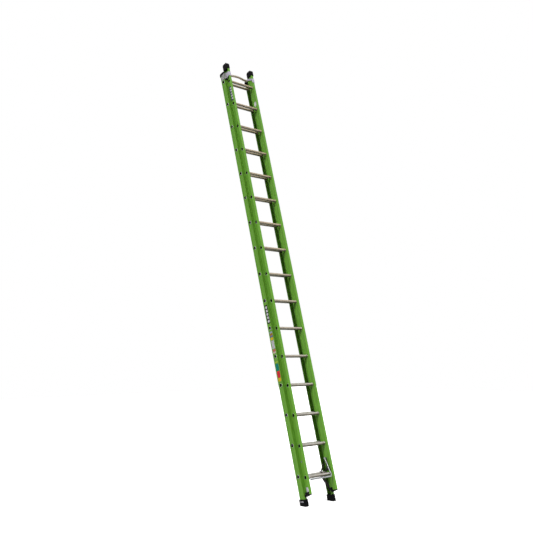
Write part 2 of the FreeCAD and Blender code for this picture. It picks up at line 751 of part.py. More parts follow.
def brace_strap(body, sign, rise, foot_end, reach, width):
    """A flat strap from a foot on the web to the collar, above or below the rung."""
    strap = new_sketch(body, "XZ_Plane", "Strap")
    seat = "(rung_diameter / 2 + brace_plate / 2)"
    end = f"{-sign} * (brace_reach + brace_collar)"
    outline(strap, [
        ("0", f"{rise} * {foot_end}"),
        ("0", f"{rise} * ({foot_end} - brace_foot)"),
        (f"{-sign} * ({reach})", f"{rise} * {seat}"),
        (end, f"{rise} * {seat}"),
        (end, f"{rise} * ({seat} + brace_plate)"),
        (f"{-sign} * ({reach})", f"{rise} * ({seat} + brace_plate)"),
        (f"{-sign} * brace_plate", f"{rise} * ({foot_end} - brace_foot + brace_plate)"),
        (f"{-sign} * brace_plate", f"{rise} * {foot_end}"),
    ])
    pad(body, strap, width, symmetric=True)


def bail():
    """A bent rod that hangs from the lock pins, with a thicker hand bar across it."""
    body = new_body("rung_bail", "0", "pivot_y", "pivot_z")
    body.Placement = FreeCAD.Placement(FreeCAD.Vector(), FreeCAD.Rotation(FreeCAD.Vector(1, 0, 0), 1))
    place(body, "0", "pivot_y", "pivot_z")
    body.setExpression("Placement.Rotation.Angle", "-" + expand("atan(bail_lean / bail_drop)"))
    rod = new_sketch(body, "XY_Plane", "Rod", "-eye_diameter / 2 + corner")
    ring(rod, "-bail_half", "0", "bail_rod / 2")
    path = new_sketch(body, "XZ_Plane", "Path")
    outline(path, [
        ("-bail_half", "-eye_diameter / 2 + corner"),
        ("-bail_half", "-bail_length", "bail_bend"),
        ("bail_half", "-bail_length", "bail_bend"),
        ("bail_half", "-eye_diameter / 2 + corner"),
    ], closed=False)
    sweep(body, rod, path)
    for end in ("-bail_half", "bail_half"):
        eye = new_sketch(body, "YZ_Plane", "Eye", end)
        ring(eye, "0", "0", "eye_diameter / 2")
        ring(eye, "0", "0", "eye_bore")
        pad(body, eye, "eye_width", symmetric=True)
    bar = new_sketch(body, "YZ_Plane", "HandBar")
    ring(bar, "0", "-bail_length", "bail_bar / 2")
    pad(body, bar, "2 * (bail_half - bail_bend)", symmetric=True)
    return body


def lock_hook(side, sign):
    """A pawl on the lock pin, forked at its foot to drop over a base rung."""
    middle = f"{sign} * (hook_inner + hook_plate / 2)"
    body = new_body(f"lock_hook_{side}", middle, "pivot_y", "pivot_z")
    arm = new_sketch(body, "YZ_Plane", "Arm")
    outline(arm, [
        ("-hook_arm / 2", "0"),
        ("-hook_arm / 2", "-hook_seat_depth + hook_seat", "hook_arm"),
        ("-hook_front", "-hook_seat_depth + corner", "corner"),
        ("-hook_front", "-hook_radius + corner"),
        ("hook_back", "-hook_radius + corner * 2"),
        ("hook_back", "-hook_seat_depth + 2 * corner", "corner"),
        ("hook_arm / 2", "-hook_seat_depth + hook_seat", "hook_arm"),
        ("hook_arm / 2", "0"),
    ])
    pad(body, arm, "hook_plate", symmetric=True)
    eye = new_sketch(body, "YZ_Plane", "Eye")
    ring(eye, "0", "0", "hook_arm / 2")
    pad(body, eye, "hook_plate", symmetric=True)
    bore = new_sketch(body, "YZ_Plane", "Bore")
    ring(bore, "0", "0", "eye_bore")
    pocket(body, bore, "2 * hook_plate", symmetric=True)
    seat = new_sketch(body, "YZ_Plane", "Seat")
    ring(seat, "(hook_back - hook_front) / 2", "-hook_seat_depth - hook_seat / 2", "hook_seat / 2")
    pocket(body, seat, "2 * hook_plate", symmetric=True)
    return body


def pin_profile(sign):
    """Corners of a lock pin's half section, along X from the middle of the ladder."""
    shank = "pin_diameter / 2"
    head = "pin_head / 2"
    steps = [
        ("bail_half - eye_width / 2 - slack - pin_cap", "0"),
        ("bail_half - eye_width / 2 - slack - pin_cap", head),
        ("bail_half - eye_width / 2 - slack", head),
        ("bail_half - eye_width / 2 - slack", shank),
        ("hook_outer + slack", shank),
        ("hook_outer + slack", head),
        ("fly_half - web", head),
        ("fly_half - web", shank),
        ("fly_half", shank),
        ("fly_half", head),
        ("fly_half + pin_cap", head),
        ("fly_half + pin_cap", "0"),
    ]
    return [(f"{sign} * ({x})", radius) for x, radius in steps]


def lock_pin(side, sign):
    """A headed pin through the fly web, with a shoulder that spaces the hook off the web."""
    body = new_body(f"lock_pin_{side}", "0", "pivot_y", "pivot_z")
    profile = new_sketch(body, "XY_Plane", "HalfSection")
    outline(profile, pin_profile(sign))
    revolve(body, profile)
    return body


def pole_rest():
    """A bowed bar between the fly stiles, which rests the ladder against a pole."""
    body = new_body("pole_rest", "-rest_half", "fly_y + rest_back", "rest_z")
    path = new_sketch(body, "XY_Plane", "Path")
    outline(path, [
        ("0", "0"),
        ("rest_straight", "0", "rest_bend"),
        ("rest_half", "-rest_bow", "rest_curve"),
        ("2 * rest_half - rest_straight", "0", "rest_bend"),
        ("2 * rest_half", "0"),
    ], closed=False)
    bar = new_sketch(body, "YZ_Plane", "Bar")
    ring(bar, "0", "0", "rest_diameter / 2")
    sweep(body, bar, path)
    return body


def rest_strap(side, sign):
    """A sloping strap that carries one end of the pole rest, bent over the front flange."""
    body = new_body(f"rest_strap_{side}", f"{sign} * (rest_half + strap_plate / 2)", "fly_y", "rest_z")
    front = "-(fly_depth / 2 + strap_plate)"
    back = "rest_back + rest_diameter / 2 + strap_plate"
    half = "strap_height / 2"
    side_plate = new_sketch(body, "YZ_Plane", "SidePlate")
    outline(side_plate, [
        (front, f"-strap_fall - {half}"),
        ("rest_back - rest_diameter", f"-{half}", "strap_height"),
        (back, f"-{half}", "strap_height / 3"),
        (back, half, "strap_height / 3"),
        ("rest_back - rest_diameter", half, "strap_height"),
        (front, f"{half} - strap_fall"),
    ])
    pad(body, side_plate, "strap_plate", symmetric=True)
    plate = new_sketch(body, "XZ_Plane", "FrontPlate", "fly_depth / 2")
    near = f"{-sign} * strap_plate / 2"
    outer_plate = f"{sign} * (fly_half + fly_flange_out + slack - rest_half)"
    far = f"{outer_plate} + {sign} * strap_plate / 2"
    top = f"{half} - strap_fall"
    bottom = f"{top} - clamp_height"
    outline(plate, [(near, top), (far, top), (far, bottom), (near, bottom)])
    pad(body, plate, "strap_plate")
    wrap = new_sketch(body, "YZ_Plane", "OuterPlate", outer_plate)
    outline(wrap, [
        (front, bottom),
        (front, top),
        (f"{front} + clamp_return", top, "2 * corner"),
        (f"{front} + clamp_return", f"{bottom} - clamp_tail", "2 * corner"),
    ])
    pad(body, wrap, "strap_plate", symmetric=True)
    return body


def rivet(name, x, y, z, sign):
    """One domed rivet head standing on a face that looks along X."""
    head = document.addObject("Part::Cone", name)
    head.Placement = FreeCAD.Placement(FreeCAD.Vector(), FreeCAD.Rotation(FreeCAD.Vector(0, 1, 0), 90 * sign))
    place(head, x, y, z)
    head.setExpression("Radius1", expand("rivet_head / 2"))
    head.setExpression("Radius2", expand("rivet_crown / 2"))
    head.setExpression("Height", expand("rivet_height"))
    return head


def gather(label, pieces):
    """Make separate solids of one kind a single sub-part."""
    group = document.addObject("Part::Compound", label)
    group.Label = label
    group.Links = pieces
    for piece in pieces:
        if piece in subparts:
            subparts.remove(piece)
    subparts.append(group)
    return group


def base_rivet_places():
    """Two on each foot and two on each guide bracket, outside the base stiles."""
    places = []
    for _, sign in SIDES:
        foot_face = f"{sign} * (base_half + base_lip + foot_side)"
        for row in (-1, 1):
            across = f"{row} * base_depth * 2 / 9"
            height = f"foot_height + (foot_front + {across}) * tan(sole_angle) - rivet_drop"
            places.append((foot_face, f"base_y + {across}", height, sign))
        plate_face = f"{sign} * (base_half + guide_plate)"
        for rise in (1, 3):
            across = f"base_y + {rise - 2} * base_depth / 8"
            places.append((plate_face, across, f"guide_bottom + {rise} * guide_height / 5", sign))
    return places


def fly_rivet_places():
    """Two on each shoe washer, outside the fly webs."""
    places = []
    for _, sign in SIDES:
        washer_face = f"{sign} * (fly_half + shoe_plate)"
        for row in (1, 3):
            height = f"fly_bottom + plug_block + slack + {row} * shoe_height / 4"
            places.append((washer_face, "fly_y", height, sign))
    return places


def build():
    """Make every sub-part."""
    for side, sign in SIDES:
        stile(f"base_stile_{side}", sign, base_section, "base_half", "base_y",
              "base_bottom", "base_length", "base_tail")
        fly_stile = stile(f"fly_stile_{side}", sign, fly_section, "fly_half", "fly_y",
                          "fly_bottom", "fly_length", "fly_tail")
        lock_pin_hole(fly_stile)
        for make in (foot, fly_cap, base_cap, fly_shoe, guide_bracket, guide_slider, rung_brace, lock_hook):
            make(side, sign)
        gather(f"fly_plug_{side}", [stile_plug(side, sign), plug_hook(side, sign)])
    for number in range(1, int(value("rung_count")) + 1):
        rise = f"{number - 1} * rung_pitch"
        rung(f"base_rung_{number:02d}", "base_half", "base_y", f"first_rung_height + {rise}")
        rung(f"fly_rung_{number:02d}", "fly_half", "fly_y", f"fly_rung_height + {rise}")
    gather("lock_pins", [lock_pin(side, sign) for side, sign in SIDES])
    bail()
    pole_rest()
    gather("pole_rest_straps", [rest_strap(side, sign) for side, sign in SIDES])
    for label, places in (("base_rivets", base_rivet_places()), ("fly_rivets", fly_rivet_places())):
        gather(label, [rivet(f"{label}_{number}", *spot) for number, spot in enumerate(places, start=1)])
    document.recompute()


def check():
    """Stop if any object failed, or if a sub-part is empty or not sound."""
    for item in document.Objects:
        if "Invalid" in item.State or "Error" in item.State:
            raise ValueError(f"{item.Name} of {item.getParentGeoFeatureGroup()} failed: {item.State}")
    for item in subparts:
        if item.Shape.isNull() or not item.Shape.isValid():
            raise ValueError(f"{item.Label} is not sound")


def write():
    """Write each sub-part to a file of its own name."""
    os.makedirs("parts", exist_ok=True)
    for item in subparts:
        item.Shape.exportStep(f"parts/{item.Label}.step")


fill_sheet()
build()
check()
write()
print(len(subparts), "sub-parts written")
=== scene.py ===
import bpy
import numpy as np
from bpy.props import FloatProperty, FloatVectorProperty, IntProperty, PointerProperty
from bpy.types import Operator, Panel, PropertyGroup
from mathutils import Euler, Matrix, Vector


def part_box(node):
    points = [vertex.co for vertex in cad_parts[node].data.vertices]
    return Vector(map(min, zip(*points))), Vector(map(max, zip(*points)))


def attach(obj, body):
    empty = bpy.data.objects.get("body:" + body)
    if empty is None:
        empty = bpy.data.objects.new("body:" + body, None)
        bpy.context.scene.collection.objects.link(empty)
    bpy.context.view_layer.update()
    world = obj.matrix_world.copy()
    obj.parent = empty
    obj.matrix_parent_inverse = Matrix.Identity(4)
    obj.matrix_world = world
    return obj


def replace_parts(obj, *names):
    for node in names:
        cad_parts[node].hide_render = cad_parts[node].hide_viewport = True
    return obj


bl_info = {
    "name": "Extension ladder",
    "version": (1, 0, 0),
    "blender": (4, 5, 0),
    "location": "3D View > Sidebar > Ladder",
    "description": "Finishes, ribbed rungs, rivets and plain bands for a two-section extension ladder",
    "category": "Object",
}

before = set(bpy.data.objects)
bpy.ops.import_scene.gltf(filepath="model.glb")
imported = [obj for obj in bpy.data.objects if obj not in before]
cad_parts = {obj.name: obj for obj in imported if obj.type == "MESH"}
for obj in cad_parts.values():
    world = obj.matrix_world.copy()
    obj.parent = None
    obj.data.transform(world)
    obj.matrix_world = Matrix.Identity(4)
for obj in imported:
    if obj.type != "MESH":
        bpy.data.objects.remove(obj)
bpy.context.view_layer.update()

SIDES = (("left", -1), ("right", 1))
SECTIONS = ("base", "fly")

# Thickness of a brace's strap, and how far its rivets stand from the ends of its feet.
BRACE_PLATE = 0.003
BRACE_SEAT = 0.012

# Points of one rivet head lie nearer to each other than this, and points of two heads do not.
HEAD_REACH = 0.0135

# Points along a quarter turn of a rounded profile.
QUARTER = 6

# Points round one rib of a rung, and how steep its flanks are: past a half, crowns and hollows are flat.
RIB_POINTS = 4
RIB_STEEPNESS = 0.9

# Radius of the floor of a rivet's hollow, as a share of the hollow's own.
HOLLOW_FLOOR = 0.8

# Share of a band's thickness at which its front edge starts to draw in.
BAND_SHOULDER = 0.6

# Heights between which the rungs' colour goes from the lower to the upper one, a painted change of reflection,
# and over which the painted shade on their undersides reaches less far up as the rungs rise.
RUNG_PAINTED_LIGHT_HEIGHTS = (0.8, 3.0)

# Specular level of moulded and cast skins, and of the bands' film.
MOULDED_GLOSS = 0.04
FILM_GLOSS = 0.12

# How much paler than its own colour a metal's rubbed edge is, and the palest that it gets.
METAL_RUBBED = 1.12
METAL_PALEST = 0.95

# How much paler a skin's dull patches are, and what its rubbed edges add to its colour.
SKIN_PATCHES = 1.35
SKIN_RUBBED = 0.12

# What the lines of a metal and the patches of a skin take from its roughness, and what they add to it.
METAL_UNEVEN = (-0.08, 0.1)
SKIN_UNEVEN = (-0.06, 0.1)

# How much darker the patches of the bore's painted shade, of the film and of the floor are.
BORE_SHADE_PATCHES = 0.5
FILM_PATCHES = 0.92
FLOOR_PATCHES = 0.98

# Share of the floor's colour that it throws back at the ladder.
FLOOR_BOUNCE = 0.6

# Direction in which each lamp shines, and how wide it looks in radians.
KEY_LAMP = ((0.0, 0.72, -0.69), 0.7)
FILL_LAMP = ((0.90, 0.21, -0.38), 0.15)

# Drawn and rolled metals: colour, colour of the cloudy patches, metallic share and roughness.
DRAWN = {
    "rung_aluminium": ("rung", "rung_dull", 0.22, 0.27),
    "rest_aluminium": ("rest", "rung_dull", 0.25, 0.45),
    "bright_aluminium": ("bright", "bright_dull", 0.35, 0.40),
    "bracket_aluminium": ("bracket", "bracket_dull", 0.30, 0.45),
    "rivet_aluminium": ("rivet", "bright_dull", 0.45, 0.32),
    "zinc_steel": ("zinc", "zinc_dull", 0.60, 0.25),
}

# Moulded and cast skins: colour, roughness, how fine and how deep the pits are, and metallic share.
MOULDED = {
    "black_rubber": ("rubber", 0.50, 700.0, 0.0003, 0.0),
    "black_nylon": ("nylon", 0.40, 1200.0, 0.0001, 0.0),
    "dark_brace": ("brace", 0.50, 500.0, 0.0001, 0.3),
    "cast_pawl": ("pawl", 0.55, 450.0, 0.0004, 0.3),
}

# Widths of most bands and of the dashes on two of them.
BAND = 0.046
DASH = 0.026

# Colours of the plain bands.
FILMS = {
    "black": (0.06, 0.06, 0.07),
    "slate": (0.25, 0.28, 0.34),
    "pale": (0.86, 0.86, 0.87),
    "oval": (0.84, 0.85, 0.84),
    "mist": (0.60, 0.65, 0.70),
    "amber": (0.66, 0.45, 0.22),
    "violet": (0.44, 0.42, 0.62),
    "yellow": (0.85, 0.73, 0.17),
    "silver": (0.76, 0.76, 0.78),
    "rose": (0.78, 0.42, 0.40),
    "blush": (0.84, 0.72, 0.70),
    "lime": (0.66, 0.76, 0.25),
    "teal": (0.05, 0.50, 0.44),
    "red": (0.86, 0.18, 0.24),
}


def dashes(first, last, count, share):
    """Evenly spaced spans whose middles run from first to last, each a share long."""
    return [(middle - share / 2, middle + share / 2) for middle in np.linspace(first, last, count).tolist()]


# Each row: name, section, side, outer face of the web, rung above, width, layers that it lies on, film, and
# spans down from that rung as shares of the rung spacing.
BANDS = (
    ("base_black_band", "base", "left", True, 7, BAND, 0, "black", [(0.16, 0.83)]),
    ("base_black_band_dashes", "base", "left", True, 7, DASH, 1, "pale", dashes(0.25, 0.75, 5, 0.085)),
    ("base_band_mist", "base", "left", True, 6, BAND, 0, "mist", [(0.12, 0.18)]),
    ("base_band_amber", "base", "left", True, 6, BAND, 0, "amber", [(0.19, 0.25)]),
    ("base_band_violet", "base", "left", True, 6, BAND, 0, "violet", [(0.26, 0.32)]),
    ("base_band_yellow", "base", "left", True, 6, BAND, 0, "yellow", [(0.33, 0.42)]),
    ("base_band_silver", "base", "left", True, 6, BAND, 0, "silver", [(0.44, 0.73)]),
    ("base_band_rose", "base", "left", True, 6, BAND, 0, "rose", [(0.75, 0.82)]),
    ("base_band_blush", "base", "left", True, 6, BAND, 0, "blush", [(0.83, 0.89)]),
    ("base_band_lime", "base", "left", True, 5, BAND, 0, "lime", [(0.18, 0.22)]),
    ("base_band_teal", "base", "left", True, 5, BAND, 0, "teal", [(0.26, 0.50)]),
    ("base_band_red", "base", "left", True, 5, BAND, 0, "red", [(0.51, 0.735)]),
    ("base_band_gold", "base", "left", True, 5, BAND, 0, "yellow", [(0.745, 0.86)]),
    ("fly_slate_band", "fly", "left", True, 16, 0.050, 0, "slate", [(0.23, 0.86)]),
    ("fly_slate_band_dashes", "fly", "left", True, 16, DASH, 1, "pale", dashes(0.32, 0.77, 5, 0.07)),
    ("fly_pale_oval", "fly", "right", False, 16, 0.040, 0, "oval", [(0.65, 0.86)]),
)


def rung_nodes(section):
    """Names of a section's rungs, from the lowest."""
    return sorted(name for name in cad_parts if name.startswith(f"{section}_rung_"))


# ---------------------------------------------------------------- sizes and colours

def length(name, default, description):
    """A length in metres that the sidebar can change."""
    return FloatProperty(name=name, description=description, default=default, min=0, unit="LENGTH", precision=4)


def colour(name, default, description):
    """A colour written as it looks on a screen, from 0 to 1."""
    return FloatVectorProperty(name=name, description=description, default=default, size=3,
                               min=0, max=1, subtype="COLOR_GAMMA")


class LadderColours(PropertyGroup):
    """Colours of the ladder's finishes, and of the painted light and shade of the rungs."""
    fibreglass: colour("Fibreglass", (0.41, 0.63, 0.19), "Pigment of the pultruded stiles")
    fibreglass_deep: colour("Deep green", (0.24, 0.47, 0.10), "Where the resin lies thick between strands")
    fibreglass_rubbed: colour("Rubbed green", (0.62, 0.78, 0.42), "Edges that are rubbed pale")
    # Painted reflection: the rungs' colour goes from the lower one to this upper one with height.
    rung: colour("Rung", (0.785, 0.71, 0.60), "Mill finish of the upper rungs")
    rung_low_painted_reflection: colour("Lower rung", (0.74, 0.73, 0.71), "Lower rungs' colour, painted less warm for their reflections")
    # Painted shade: the rungs' undersides take this dark colour.
    rung_painted_shade: colour("Underside", (0.33, 0.335, 0.26), "Painted shade on the undersides of the rungs")
    rung_dull: colour("Dull rung", (0.52, 0.45, 0.36), "Cloudy patches of the rungs, where dirt stays")
    # Painted shade: the bores and funnels of the rungs take this near-black colour.
    bore: colour("Bore", (0.03, 0.03, 0.04), "Painted shade inside the rungs and their funnels")
    bright: colour("Bright aluminium", (0.70, 0.68, 0.74), "Straps and shoes")
    bright_dull: colour("Dull bright aluminium", (0.48, 0.46, 0.50), "Cloudy patches of the brackets")
    bracket: colour("Bracket", (0.58, 0.58, 0.575), "Guide brackets on the base section")
    bracket_dull: colour("Dull bracket", (0.29, 0.30, 0.28), "Cloudy patches of the guide brackets")
    rest: colour("Pole rest", (0.70, 0.66, 0.59), "Bowed bar between the tops of the stiles")
    rubber: colour("Rubber", (0.035, 0.035, 0.042), "Feet and caps")
    nylon: colour("Nylon", (0.05, 0.05, 0.055), "Sliders and plugs")
    brace: colour("Brace", (0.17, 0.155, 0.15), "Darkened aluminium of the knee braces")
    pawl: colour("Pawl", (0.15, 0.145, 0.14), "Cast lock hooks")
    zinc: colour("Zinc", (0.64, 0.645, 0.655), "Plated rod of the bail and the lock pins")
    zinc_dull: colour("Dull zinc", (0.40, 0.41, 0.43), "Cloudy patches of the plating")
    rivet: colour("Rivet", (0.78, 0.77, 0.80), "Blind rivets and the swaged collars of the rungs")
    floor: colour("Floor", (0.93, 0.93, 0.93), "Plain pale floor")


class RungSizes(PropertyGroup):
    """Sizes of a ribbed rung."""
    radius: length("Radius", 0.015, "Outside of the tube")
    bore: length("Bore", 0.0125, "Inside of the tube")
    flare: length("Flare", 0.019, "Rim of the collar outside a web")
    mouth: length("Mouth", 0.0168, "Edge of the funnel in the collar")
    funnel: length("Funnel", 0.007, "How far the funnel runs into the tube")
    bead: length("Bead", 0.0178, "Crown of the bead inside a web")
    collar: length("Collar", 0.003, "How far the collar stands outside a web")
    web: length("Web", 0.004, "Thickness of a web")
    bead_length: length("Bead length", 0.0055, "How far the bead runs along the tube")
    plain_end: length("Plain end", 0.012, "Tube without ribs beside a bead")
    rib_fade: length("Rib fade", 0.003, "How far a rib takes to end")
    groove: length("Groove", 0.0007, "Depth between two ribs")
    ribs: IntProperty(name="Ribs", description="Ribs round a rung", default=32, min=8, max=60)
    bead_rings: IntProperty(name="Bead rings", description="Rings of points along a bead", default=9, min=5)


class SmallPartSizes(PropertyGroup):
    """Sizes of the rivets and of the plain bands."""
    rim: length("Rivet rim", 0.0008, "Height of a rivet's rim")
    dimple: length("Dimple", 0.0022, "Radius of the hollow in a rivet's crown")
    dimple_depth: length("Dimple depth", 0.0007, "Depth of the hollow in a rivet's crown")
    brace_rivet: length("Brace rivet", 0.0045, "Radius of a rivet in a brace's foot, twice its height")
    rivet_points: IntProperty(name="Rivet points", description="Points round a rivet", default=20, min=8)
    film: length("Film", 0.0004, "Thickness of a plain band")
    film_corner: length("Film corner", 0.004, "Radius of a band's corners")


class StageSizes(PropertyGroup):
    """Camera, lamps and floor."""
    camera_place: FloatVectorProperty(name="Camera", description="Where the camera stands", size=3,
                                      default=(-5.07837, -5.33741, 0.06531), unit="LENGTH")
    camera_turn: FloatVectorProperty(name="Camera turn", description="How the camera is turned", size=3,
                                     default=(1.89962, 0.18067, -0.68765), subtype="EULER")
    lens: FloatProperty(name="Lens", description="Focal length in millimetres", default=47.721, min=10)
    sensor: FloatProperty(name="Sensor", description="Width of the sensor in millimetres", default=36, min=1)
    sight: length("Sight", 200.0, "How far the camera sees")
    lean: FloatProperty(name="Lean", description="Lean of the ladder over the floor", default=0.2618,
                        subtype="ANGLE")
    floor_size: length("Floor size", 40.0, "Width of the floor")
    floor_glow: FloatProperty(name="Floor glow", description="How white the floor shows by itself",
                              default=0.7, min=0)
    key: FloatProperty(name="Key", description="Strength of the lamp in front", default=3.0, min=0)
    fill: FloatProperty(name="Fill", description="Strength of the lamp on the left", default=1.75, min=0)
    ambient: FloatProperty(name="Ambient", description="Light from all round", default=0.11, min=0)


# ---------------------------------------------------------------- material tools

def linear(shown):
    """A screen colour as the light it stands for.

    The standard curve: a power of 2.4 above a short straight foot.
    """
    shown = np.asarray(shown, float)
    light = np.where(shown <= 0.04045, shown / 12.92, ((shown + 0.055) / 1.055) ** 2.4)
    return (*light.tolist(), 1.0)


def add_node(tree, kind, values=None, **settings):
    """One node of a tree: an input given as a socket is linked, and any other value is set."""
    item = tree.nodes.new(kind)
    for key, setting in settings.items():
        setattr(item, key, setting)
    for key, given in (values or {}).items():
        if isinstance(given, bpy.types.NodeSocket):
            tree.links.new(given, item.inputs[key])
        else:
            item.inputs[key].default_value = given
    return item


def new_group(name, inputs, outputs):
    """An empty node group with number inputs, each with its start value, and named outputs."""
    tree = bpy.data.node_groups.new(name, "ShaderNodeTree")
    for label, start in inputs.items():
        socket = tree.interface.new_socket(label, in_out="INPUT", socket_type="NodeSocketFloat")
        socket.default_value = start
    for label in outputs:
        tree.interface.new_socket(label, in_out="OUTPUT", socket_type="NodeSocketFloat")
    return tree, tree.nodes.new("NodeGroupInput").outputs, tree.nodes.new("NodeGroupOutput").inputs


def use_group(tree, group, **values):
    """A group placed in a material, with its own values."""
    item = tree.nodes.new("ShaderNodeGroup")
    item.node_tree = group
    for label, given in values.items():
        item.inputs[label.replace("_", " ").capitalize()].default_value = given
    return item


def stretched_noise(tree, scale, detail):
    """Noise in the piece's own coordinates, stretched by a scale along each axis."""
    place = add_node(tree, "ShaderNodeTexCoord").outputs["Object"]
    mapping = add_node(tree, "ShaderNodeMapping", {"Vector": place, "Scale": scale})
    noise = add_node(tree, "ShaderNodeTexNoise", {
        "Vector": mapping.outputs["Vector"], "Scale": 1.0, "Detail": detail})
    return noise.outputs["Fac"]


def remap(tree, given, low, high, to_low=0.0, to_high=1.0):
    """A value carried from one range to another, and held at its ends."""
    return add_node(tree, "ShaderNodeMapRange", {
        "Value": given, "From Min": low, "From Max": high, "To Min": to_low, "To Max": to_high}).outputs["Result"]


def calculate(tree, operation, first, second):
    """One step of arithmetic with two values, each a number or a socket."""
    return add_node(tree, "ShaderNodeMath", {0: first, 1: second}, operation=operation).outputs["Value"]


def mixed(tree, share, first, second):
    """A colour between two colours. The node holds its colours in inputs 6 and 7 and its colour output at 2."""
    return add_node(tree, "ShaderNodeMix", {0: share, 6: first, 7: second}, data_type="RGBA").outputs[2]


def make_grain_group():
    """Strands that run along the stile: long streaks over a soft mottle, and fine threads for the surface."""
    tree, _, out = new_group("Strand grain", {}, ("Streak", "Thread"))
    streak_share = 0.65
    broad = calculate(tree, "MULTIPLY", stretched_noise(tree, scale=(55, 55, 0.9), detail=3.0), streak_share)
    mottle = calculate(tree, "MULTIPLY", stretched_noise(tree, scale=(14, 14, 5), detail=4.0), 1 - streak_share)
    streak = calculate(tree, "ADD", broad, mottle)
    tree.links.new(remap(tree, streak, low=0.35, high=0.65), out["Streak"])
    tree.links.new(stretched_noise(tree, scale=(900, 900, 14), detail=2.0), out["Thread"])
    return tree


def make_wear_group():
    """Rubbed edges: where a softened normal leaves the true one, broken up by noise."""
    tree, given, out = new_group("Edge wear", {"Radius": 0.0015, "Amount": 0.5}, ("Wear",))
    soft = add_node(tree, "ShaderNodeBevel", {"Radius": given["Radius"]}, samples=4).outputs["Normal"]
    true = add_node(tree, "ShaderNodeNewGeometry").outputs["Normal"]
    agreement = add_node(tree, "ShaderNodeVectorMath", {0: soft, 1: true}, operation="DOT_PRODUCT")
    edge = remap(tree, agreement.outputs["Value"], low=0.995, high=0.80)
    patches = remap(tree, stretched_noise(tree, scale=(38, 38, 38), detail=5.0), low=0.42, high=0.62)
    broken = calculate(tree, "MULTIPLY", edge, patches)
    tree.links.new(calculate(tree, "MULTIPLY", broken, given["Amount"]), out["Wear"])
    return tree


def make_brushed_group():
    """Drawn metal: fine lines along the width of the ladder, and soft cloudy patches."""
    tree, _, out = new_group("Drawn metal", {}, ("Line", "Cloud"))
    tree.links.new(stretched_noise(tree, scale=(5, 1500, 1500), detail=2.0), out["Line"])
    cloud = stretched_noise(tree, scale=(22, 60, 60), detail=4.0)
    tree.links.new(remap(tree, cloud, low=0.3, high=0.7), out["Cloud"])
    return tree


def make_pitted_group():
    """Moulded or cast skin: small pits and broad uneven patches."""
    tree, given, out = new_group("Pitted skin", {"Size": 900.0}, ("Pit", "Patch"))
    place = add_node(tree, "ShaderNodeTexCoord").outputs["Object"]
    pit = add_node(tree, "ShaderNodeTexNoise", {"Vector": place, "Scale": given["Size"]})
    tree.links.new(pit.outputs["Fac"], out["Pit"])
    patch = stretched_noise(tree, scale=(30, 30, 30), detail=4.0)
    tree.links.new(remap(tree, patch, low=0.35, high=0.65), out["Patch"])
    return tree


def group_of(name, make):
    """A shared group, made the first time that a material needs it."""
    return bpy.data.node_groups.get(name) or make()


def new_material(name, roughness, metallic=0.0, gloss=0.5):
    """A material with one shader, whose constant values stand on its own sockets. Gloss is the specular level."""
    material = bpy.data.materials.new(name)
    material.use_nodes = True
    tree = material.node_tree
    shader = tree.nodes["Principled BSDF"]
    shader.inputs["Roughness"].default_value = roughness
    shader.inputs["Metallic"].default_value = metallic
    shader.inputs["Specular IOR Level"].default_value = gloss
    return material, tree, shader


def raise_surface(tree, shader, height, depth, strength):
    """Feed a height to the shader's normal."""
    bump = add_node(tree, "ShaderNodeBump", {"Height": height, "Distance": depth, "Strength": strength})
    tree.links.new(bump.outputs["Normal"], shader.inputs["Normal"])


def colours():
    """The sidebar's colours."""
    return bpy.context.scene.ladder_colours


def shade_of(name):
    """One of the sidebar's colours, as light."""
    return linear(getattr(colours(), name))


def fibreglass():
    """Green pultruded fibreglass: long strands under a satin resin, paler where an edge is rubbed."""
    material, tree, shader = new_material("green_fibreglass", roughness=0.45, gloss=0.25)
    grain = use_group(tree, group_of("Strand grain", make_grain_group))
    wear = use_group(tree, group_of("Edge wear", make_wear_group), radius=0.0012, amount=0.45)
    depth = remap(tree, grain.outputs["Streak"], low=0.0, high=1.0, to_low=0.30, to_high=0.0)
    body = mixed(tree, depth, shade_of("fibreglass"), shade_of("fibreglass_deep"))
    body = mixed(tree, wear.outputs["Wear"], body, shade_of("fibreglass_rubbed"))
    tree.links.new(body, shader.inputs["Base Color"])
    satin = remap(tree, grain.outputs["Thread"], low=0.3, high=0.7, to_low=0.36, to_high=0.50)
    tree.links.new(satin, shader.inputs["Roughness"])
    raise_surface(tree, shader, grain.outputs["Thread"], depth=0.0002, strength=0.5)
    return material


def drawn_metal(name, shade=None):
    """One of the drawn metals, with fine lines and cloudy patches.

    A shade function may give its clean colour in place of the plain one; the rungs' one holds painted light and
    shade.
    """
    tone, dull, metallic, roughness = DRAWN[name]
    material, tree, shader = new_material(name, roughness, metallic)
    lines = use_group(tree, group_of("Drawn metal", make_brushed_group))
    wear = use_group(tree, group_of("Edge wear", make_wear_group), radius=0.001, amount=0.6)
    clean = shade(tree) if shade else shade_of(tone)
    cloudy = remap(tree, lines.outputs["Cloud"], low=0.0, high=1.0, to_low=0.45, to_high=0.0)
    body = mixed(tree, cloudy, clean, shade_of(dull))
    rubbed = linear(np.clip(np.asarray(getattr(colours(), tone)) * METAL_RUBBED, 0, METAL_PALEST))
    tree.links.new(mixed(tree, wear.outputs["Wear"], body, rubbed), shader.inputs["Base Color"])
    smooth, rough = (roughness + change for change in METAL_UNEVEN)
    uneven = remap(tree, lines.outputs["Line"], low=0.3, high=0.7, to_low=smooth, to_high=rough)
    tree.links.new(uneven, shader.inputs["Roughness"])
    raise_surface(tree, shader, lines.outputs["Line"], depth=0.00015, strength=0.4)
    return material


def rivet_metal():
    """Bright worked aluminium, made once, which the rivets and the rungs' collars share."""
    return bpy.data.materials.get("rivet_aluminium") or drawn_metal("rivet_aluminium")


